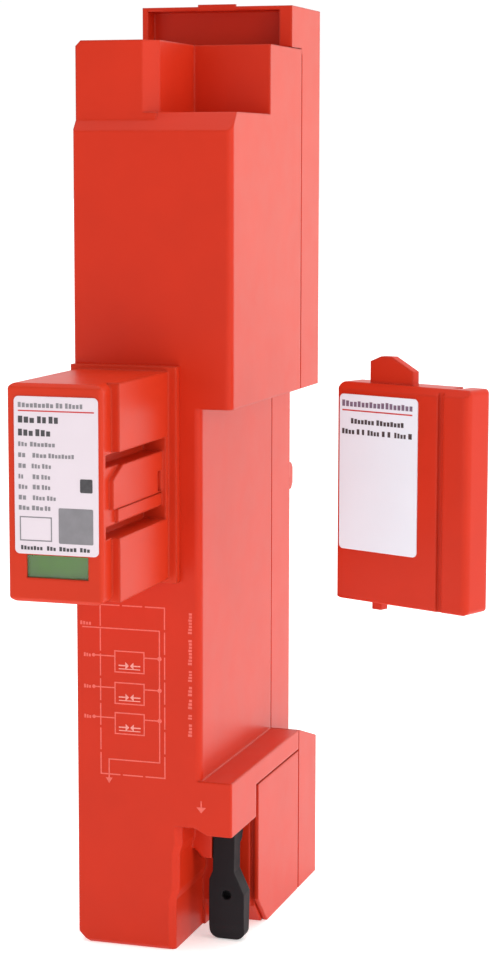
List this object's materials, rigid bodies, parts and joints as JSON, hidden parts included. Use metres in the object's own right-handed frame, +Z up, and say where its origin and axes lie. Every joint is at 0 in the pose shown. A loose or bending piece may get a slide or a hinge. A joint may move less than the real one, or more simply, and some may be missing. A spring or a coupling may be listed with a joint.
{
  "type": "busbar surge arrester",
  "caption": "Tall narrow red surge arrester that hooks onto busbars from the front, with a display nose, a sliding status flag, a lever terminal for the earth wire and a loose cover cap.",
  "frame": {"origin": "on the busbar seat, the flat rear face, in the middle of the body's width and halfway between the outer busbars", "axes": "+X to the right seen from the front, +Y from the front to the busbars, +Z up along the body"},
  "size_m": [0.0909, 0.1134, 0.2095],
  "materials": {
    "housing_red": "fine moulded texture",
    "nose_red": "fine moulded texture",
    "label_white": "printed film",
    "window_clear": "clear plastic pane",
    "flag_green": "satin",
    "fault_red": "satin",
    "inner_black": "satin",
    "lever_black": "satin",
    "spring_steel": "bright",
    "block_grey": "filled resin",
    "strap_copper": "rolled copper",
    "contact_silver": "silver plated copper"
  },
  "bodies": {
    "housing": {"front_housing": "housing_red", "rear_housing": "housing_red", "nose_housing": "nose_red", "nose_label": "label_white", "status_window": "window_clear", "fault_plate": "fault_red", "trip_spring": "spring_steel", "arrester_1": "block_grey", "arrester_2": "block_grey", "arrester_3": "block_grey", "line_link_1": "strap_copper", "line_link_2": "strap_copper", "line_link_3": "strap_copper", "busbar_contact_1": "contact_silver", "busbar_contact_2": "contact_silver", "busbar_contact_3": "contact_silver", "busbar_contact_4": "contact_silver", "neutral_rail": "strap_copper", "earth_bar": "strap_copper", "clamp_cage": "spring_steel", "clamp_spring": "spring_steel", "lever_pin": "spring_steel", "terminal_cover": "housing_red", "latch_spring": "spring_steel", "cover_cap": "nose_red", "cap_label": "label_white"},
    "lever": {"earth_lever": "lever_black"},
    "indicator": {"status_flag": "flag_green", "trip_bar": "inner_black"},
    "latch": {"busbar_latch": "inner_black"}
  },
  "joints": [
    {"name": "lever_swing", "type": "hinge", "parent": "housing", "child": "lever", "pos_m": [0.0129, -0.055, -0.087], "axis": [-1, 0, 0], "range_deg": [0, 85]},
    {"name": "flag_lift", "type": "slide", "parent": "housing", "child": "indicator", "axis": [0, 0, 1], "range_m": [0, 0.0056], "deforming": ["trip_spring"]},
    {"name": "latch_pull", "type": "slide", "parent": "housing", "child": "latch", "axis": [0, 0, -1], "range_m": [0, 0.0045], "stiffness_N_per_m": 400, "springref_m": -0.004, "deforming": ["latch_spring"]}
  ]
}
